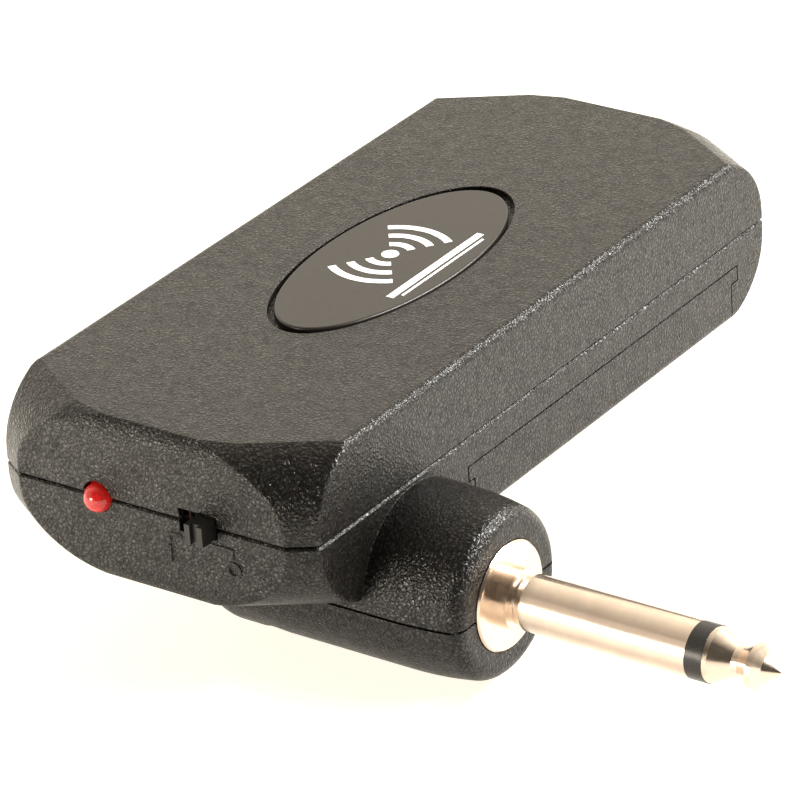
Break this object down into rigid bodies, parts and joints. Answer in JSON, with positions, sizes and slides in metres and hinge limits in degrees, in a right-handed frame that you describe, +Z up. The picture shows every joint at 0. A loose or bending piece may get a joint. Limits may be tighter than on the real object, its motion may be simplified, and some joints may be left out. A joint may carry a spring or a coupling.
{
  "type": "wireless guitar transmitter",
  "caption": "Slim clip-in wireless transmitter for a guitar: two-part textured case with faceted corners, side plug in a round barrel, lamp, slide switch and battery door.",
  "frame": {"origin": "centre of the plug's shoulder face, on the plug axis", "axes": "+X along the plug towards its tip, +Y from the lamp and switch end towards the other end, +Z up through the badge face"},
  "size_m": [0.0873, 0.0954, 0.0311],
  "materials": {
    "shell_plastic": "fine leather-like moulded grain, dark warm grey-black",
    "door_plastic": "same moulded grain as the shells",
    "knob_plastic": "smooth moulded black",
    "badge_plastic": "smooth satin black",
    "print_ink": "white pad-printed ink",
    "plug_metal": "polished warm nickel plating, fine turning marks",
    "ring_plastic": "black moulded insulator",
    "zinc": "zinc plated",
    "dark_steel": "blackened screw steel",
    "tin": "bright tin plate",
    "red_lens": "red diffused resin",
    "board": "green solder mask on glass-fibre board",
    "phenolic": "brown phenolic sheet",
    "ferrite": "grey-black ferrite",
    "copper_wire": "enamelled copper",
    "epoxy": "black moulding epoxy",
    "cap_sleeve": "dark blue shrink sleeve",
    "resistor_body": "beige lacquer with colour bands",
    "ceramic_disc": "orange-brown dipped ceramic",
    "trimmer_body": "blue moulded trimmer",
    "battery_skin": "dark lacquered steel jacket with a copper band",
    "cell_wrap": null,
    "foam": "closed-cell foam",
    "snap_vinyl": "soft black vinyl",
    "wire_red_pvc": "red wire insulation",
    "wire_black_pvc": "black wire insulation",
    "wire_white_pvc": "white wire insulation",
    "wire_green_pvc": "green wire insulation"
  },
  "bodies": {
    "housing": {"upper_shell": "shell_plastic", "lower_shell": "shell_plastic", "jack_cover": "shell_plastic", "badge": "badge_plastic", "badge_print": "print_ink", "plug_sleeve": "plug_metal", "plug_insulator": "ring_plastic", "plug_tip": "plug_metal", "jack_nut": "zinc", "jack_washer": "zinc", "sleeve_lug": "tin", "tip_lug": "tin", "lamp_lens": "red_lens", "lamp_leads": "tin", "switch_can": "tin", "switch_base": "phenolic", "switch_pins": "tin", "circuit_board": "board", "coil_cans": "tin", "coil_cores": "ferrite", "crystal": "tin", "antenna_coil": "copper_wire", "chip_body": "epoxy", "chip_pins": "tin", "transistors": "epoxy", "electrolytics": "cap_sleeve", "resistors": "resistor_body", "disc_capacitors": "ceramic_disc", "trimmer": "trimmer_body", "trimmer_dial": "tin", "battery_jacket": "battery_skin", "battery_end": "epoxy", "battery_cells": "cell_wrap", "battery_studs": "tin", "snap_pad": "snap_vinyl", "snap_contacts": "tin", "battery_foam": "foam", "wire_red": "wire_red_pvc", "wire_black": "wire_black_pvc", "tip_wire": "wire_white_pvc", "ground_wire": "wire_green_pvc", "case_screws": "dark_steel", "board_screws": "zinc", "cover_screws": "dark_steel"},
    "slider": {"switch_slider": "knob_plastic"},
    "door": {"battery_door": "door_plastic"}
  },
  "joints": [
    {"name": "switch_slide", "type": "slide", "parent": "housing", "child": "slider", "axis": [-1, 0, 0], "range_m": [0, 0.0022]},
    {"name": "door_slide", "type": "slide", "parent": "housing", "child": "door", "axis": [1, 0, 0], "range_m": [0, 0.034]}
  ]
}
